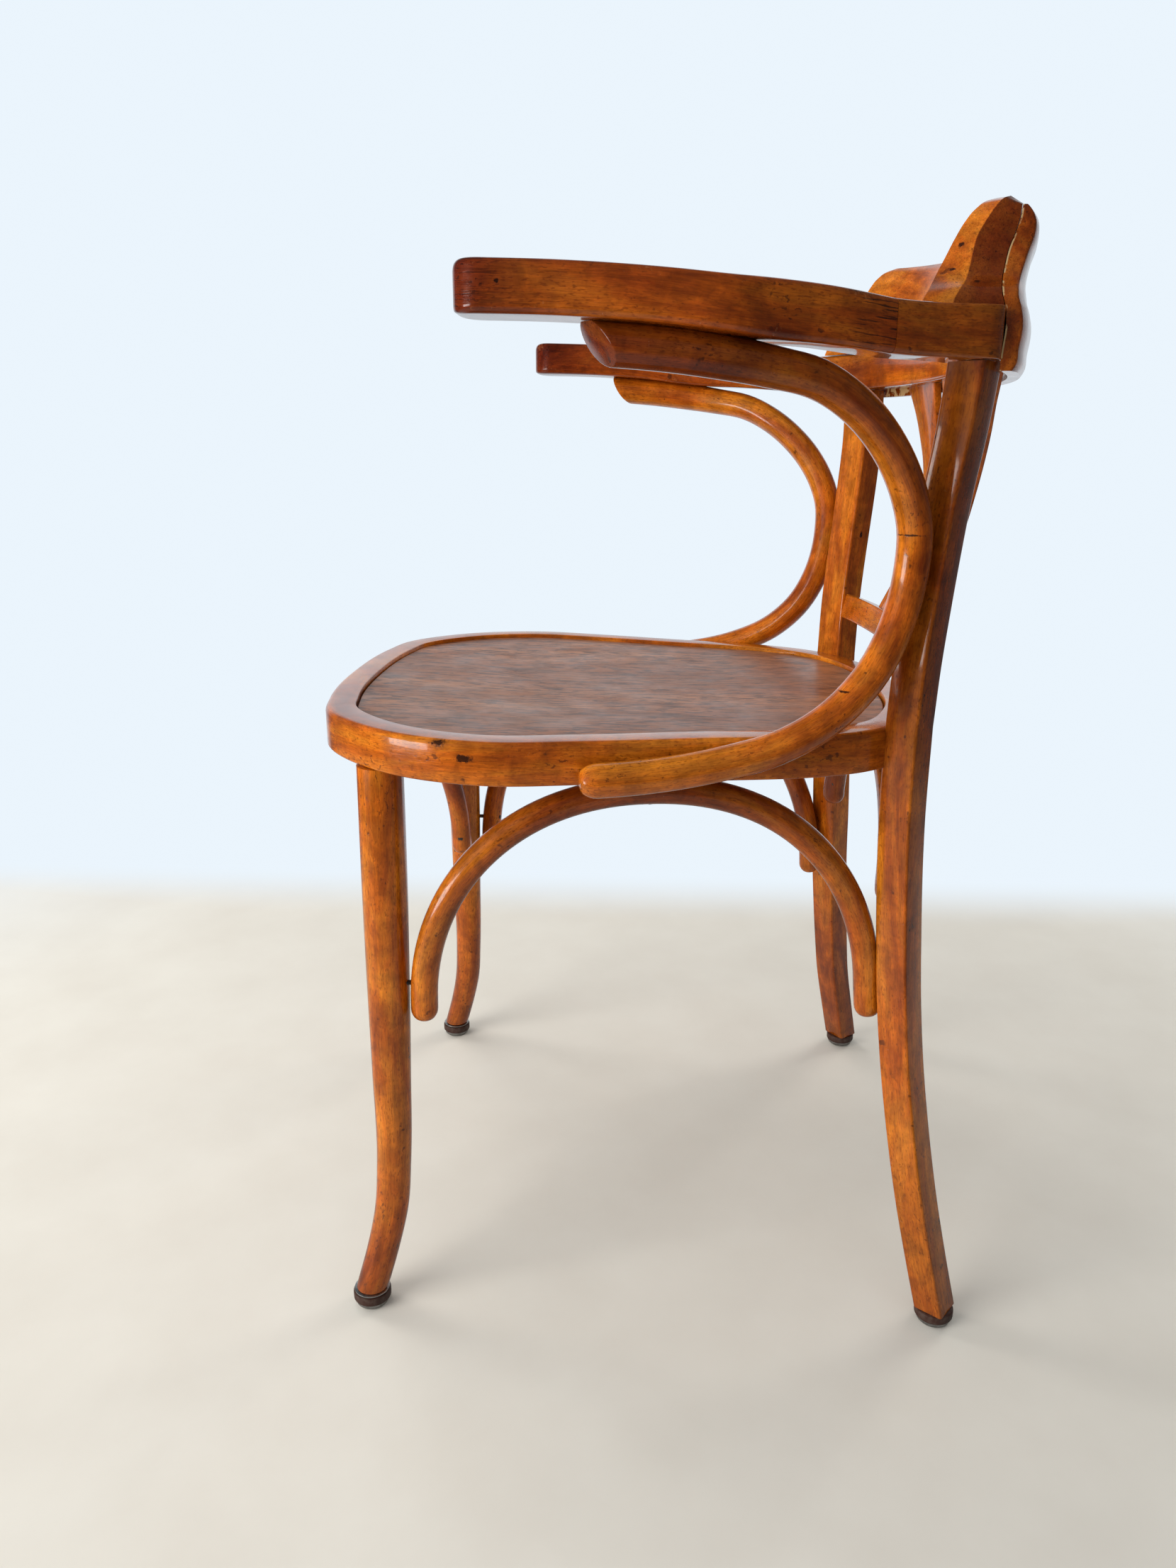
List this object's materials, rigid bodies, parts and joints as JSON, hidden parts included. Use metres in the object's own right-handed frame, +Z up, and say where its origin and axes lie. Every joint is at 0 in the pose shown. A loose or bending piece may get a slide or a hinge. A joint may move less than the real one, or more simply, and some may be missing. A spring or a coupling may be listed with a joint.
{
  "type": "bentwood desk armchair",
  "caption": "Bentwood armchair with a yoke of arms and back rail, arm bows, fan-shaped back slats, a plywood seat in a bent frame and arched leg braces",
  "frame": {"origin": "on the floor under the middle of the chair's overall box", "axes": "+Z up, the sitter faces -Y, +X is the sitter's left"},
  "size_m": [0.5956, 0.536, 0.8259],
  "materials": {
    "amber_beech": "amber beech under glossy shellac, darkened in the grain",
    "arm_beech": "red-brown beech under glossy shellac, worn dark where hands rest",
    "seat_ply": "brown veneered plywood, grain front to back, satin",
    "brown_plastic": "dark brown plastic",
    "glide_steel": "scuffed plated steel",
    "screw_steel": "dulled steel",
    "dowel_beech": "raw beech"
  },
  "bodies": {
    "root": {"seat_ring": "amber_beech", "front_leg_left": "amber_beech", "front_leg_right": "amber_beech", "back_post_left": "amber_beech", "back_post_right": "amber_beech", "back_rail": "amber_beech", "crest_block": "amber_beech", "lower_cross_rail": "amber_beech", "back_slat_left": "amber_beech", "back_slat_centre": "amber_beech", "back_slat_right": "amber_beech", "arm_bow_left": "amber_beech", "arm_bow_right": "amber_beech", "side_brace_left": "amber_beech", "side_brace_right": "amber_beech", "front_brace": "amber_beech", "rear_brace": "amber_beech", "arm_left": "arm_beech", "arm_right": "arm_beech", "back_board": "arm_beech", "seat_panel": "seat_ply", "glide_cup_front_left": "brown_plastic", "glide_sole_front_left": "glide_steel", "glide_cup_front_right": "brown_plastic", "glide_sole_front_right": "glide_steel", "glide_cup_rear_left": "brown_plastic", "glide_sole_rear_left": "glide_steel", "glide_cup_rear_right": "brown_plastic", "glide_sole_rear_right": "glide_steel", "glide_collar_front_left": "glide_steel", "glide_collar_front_right": "glide_steel", "brace_leg_screw_1": "screw_steel", "brace_leg_screw_2": "screw_steel", "brace_leg_screw_3": "screw_steel", "brace_leg_screw_4": "screw_steel", "brace_leg_screw_5": "screw_steel", "brace_leg_screw_6": "screw_steel", "brace_leg_screw_7": "screw_steel", "brace_leg_screw_8": "screw_steel", "brace_seat_screw_left": "screw_steel", "brace_seat_screw_right": "screw_steel", "brace_seat_screw_front": "screw_steel", "brace_seat_screw_rear": "screw_steel", "bow_post_screw_left": "screw_steel", "bow_post_screw_right": "screw_steel", "bow_arm_screw_left": "screw_steel", "bow_arm_screw_right": "screw_steel", "bow_seat_screw_left": "screw_steel", "bow_seat_screw_right": "screw_steel", "post_seat_screw_left": "screw_steel", "post_seat_screw_right": "screw_steel", "post_dowel_left": "dowel_beech", "post_dowel_right": "dowel_beech", "cross_rail_dowel_left": "dowel_beech", "cross_rail_dowel_right": "dowel_beech"}
  },
  "joints": []
}
